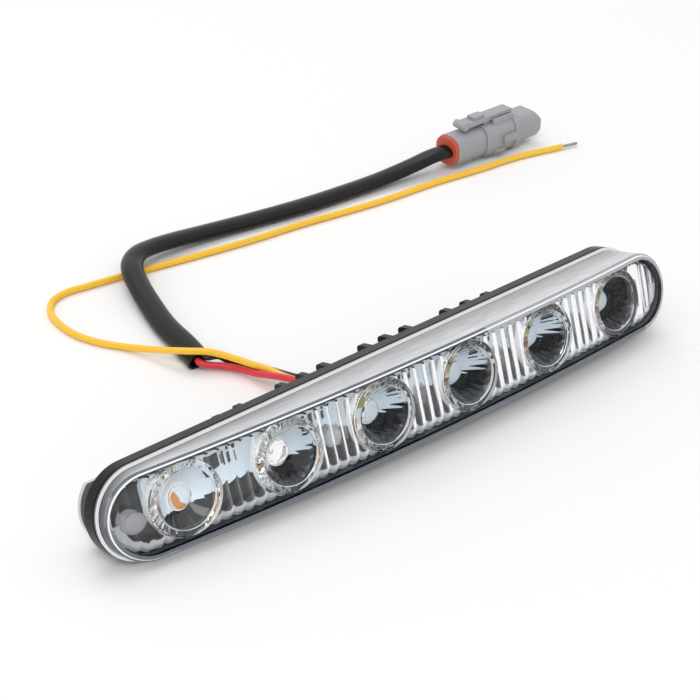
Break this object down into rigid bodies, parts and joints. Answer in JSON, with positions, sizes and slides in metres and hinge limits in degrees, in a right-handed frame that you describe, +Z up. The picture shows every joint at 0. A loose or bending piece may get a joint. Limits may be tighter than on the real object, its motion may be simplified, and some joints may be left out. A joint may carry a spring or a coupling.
{
  "type": "daytime running light",
  "caption": "Slim daytime running light with a bowed clear cover, collimator optics, a ribbed black housing, end brackets and a lead with a sealed plug.",
  "frame": {"origin": "middle of the lamp's footprint, at the floor that it rests on", "axes": "+X along the lamp to its right end, -Y towards the lamp's front, +Z up from the floor; the lamp leans back by 17.5 degrees on its slanted underside"},
  "size_m": [0.237, 0.1271, 0.0245],
  "materials": {
    "black_housing": "satin",
    "seal_rubber": "matte",
    "clear_cover": "gloss",
    "clear_optics": "gloss",
    "board": "satin",
    "white_emitter": "satin",
    "amber_emitter": "satin",
    "chip_black": "satin",
    "screw_steel": "satin",
    "bracket_metal": "satin",
    "red_insulation": "satin",
    "black_insulation": "satin",
    "yellow_insulation": "satin",
    "tinned_strands": "satin",
    "sleeve_black": "satin",
    "plug_grey": "satin",
    "seal_orange": "matte",
    "insert_pale": "satin",
    "terminal_brass": "satin"
  },
  "bodies": {
    "root": {"housing": "black_housing", "housing_seal": "seal_rubber", "outer_cover": "clear_cover", "optic_strip": "clear_optics", "circuit_board": "board", "white_leds": "white_emitter", "amber_leds": "amber_emitter", "resistors": "chip_black", "driver_chips": "chip_black", "diodes": "chip_black", "board_screws": "screw_steel", "wire_grommet": "seal_rubber", "left_bracket": "bracket_metal", "right_bracket": "bracket_metal", "bracket_screws": "screw_steel", "bracket_washers": "screw_steel", "red_wire": "red_insulation", "black_wire": "black_insulation", "yellow_wire": "yellow_insulation", "yellow_wire_strands": "tinned_strands", "cable_sleeve": "sleeve_black", "plug_body": "plug_grey", "plug_rear_seal": "seal_orange", "plug_front_seal": "seal_orange", "plug_insert": "insert_pale", "plug_terminals": "terminal_brass"}
  },
  "joints": []
}
